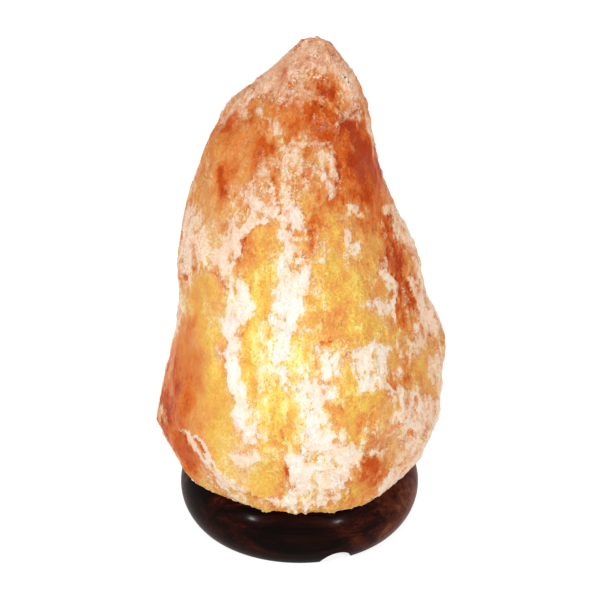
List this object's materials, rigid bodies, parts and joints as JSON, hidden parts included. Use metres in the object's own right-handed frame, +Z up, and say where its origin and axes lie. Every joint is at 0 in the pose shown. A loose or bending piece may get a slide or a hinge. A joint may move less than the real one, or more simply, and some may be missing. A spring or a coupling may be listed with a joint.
{
  "type": "salt crystal bedside lamp",
  "caption": "Upright hewn salt crystal on a dark turned wood base with an arched lead notch, hollowed for a small screw-in bulb on a clip-in lampholder.",
  "frame": {"origin": "centre of the base's axis on the surface that the feet stand on", "axes": "+Z up along the base's turning axis; -Y is the front seen in the picture; +X is on the right as one faces the front"},
  "size_m": [0.1516, 0.1282, 0.2663],
  "materials": {
    "turned_wood": "dark lacquer, glossy",
    "felt": "dense felt",
    "rock_salt": "rough split translucent crystal",
    "zinc_steel": "zinc plated",
    "spring_steel": "bright drawn wire",
    "nylon": "natural nylon",
    "moulded_white": "moulded, semi-gloss",
    "black_rubber": "matt",
    "porcelain": "glazed",
    "shell_brass": "drawn, bright",
    "solder": "soldered",
    "black_glass": "opaque black",
    "cap_metal": "rolled thread, bright",
    "bulb_glass": "clear",
    "stem_glass": "clear",
    "hot_filament": "glowing coil"
  },
  "bodies": {
    "lamp_body": {"salt_crystal": "rock_salt", "wood_base": "turned_wood", "base_feet": "felt", "fixing_screws": "zinc_steel", "fixing_washers": "zinc_steel", "wall_plugs": "nylon"},
    "holder": {"holder_cup": "moulded_white", "inlet_bush": "black_rubber", "holder_collar": "moulded_white", "contact_block": "porcelain", "screw_shell": "shell_brass", "centre_contact": "shell_brass", "contact_rivet": "shell_brass", "shell_rivet": "shell_brass", "centre_terminal": "shell_brass", "shell_terminal": "shell_brass", "terminal_screws": "zinc_steel", "clip_band": "zinc_steel"},
    "left_clip": {"left_wing": "spring_steel"},
    "right_clip": {"right_wing": "spring_steel"},
    "bulb_foot": {"bulb_tip": "solder", "bulb_insulator": "black_glass"},
    "bulb": {"bulb_cap": "cap_metal", "bulb_glass": "bulb_glass", "bulb_stem": "stem_glass", "bulb_leads": "spring_steel", "bulb_filament": "hot_filament"}
  },
  "joints": [
    {"name": "holder_withdraw", "type": "slide", "parent": "lamp_body", "child": "holder", "axis": [0, 0, -1], "range_m": [0, 0.11]},
    {"name": "left_wing_squeeze", "type": "hinge", "parent": "holder", "child": "left_clip", "pos_m": [-0.0158, 0, 0.0202], "axis": [0, 1, 0], "range_deg": [0, 10], "stiffness_Nm_per_rad": 0.01},
    {"name": "right_wing_squeeze", "type": "hinge", "parent": "holder", "child": "right_clip", "pos_m": [0.0158, 0, 0.0202], "axis": [0, -1, 0], "range_deg": [0, 10], "stiffness_Nm_per_rad": 0.01},
    {"name": "bulb_lift", "type": "slide", "parent": "holder", "child": "bulb_foot", "axis": [0, 0, 1], "range_m": [0, 0.009]},
    {"name": "bulb_turn", "type": "hinge", "parent": "bulb_foot", "child": "bulb", "pos_m": [0, 0, 0.05], "axis": [0, 0, 1], "range_deg": [0, 1260]}
  ],
  "couplings": [
    {"joint": "bulb_lift", "follows": "bulb_turn", "m_per_rad": 0.00040425}
  ]
}
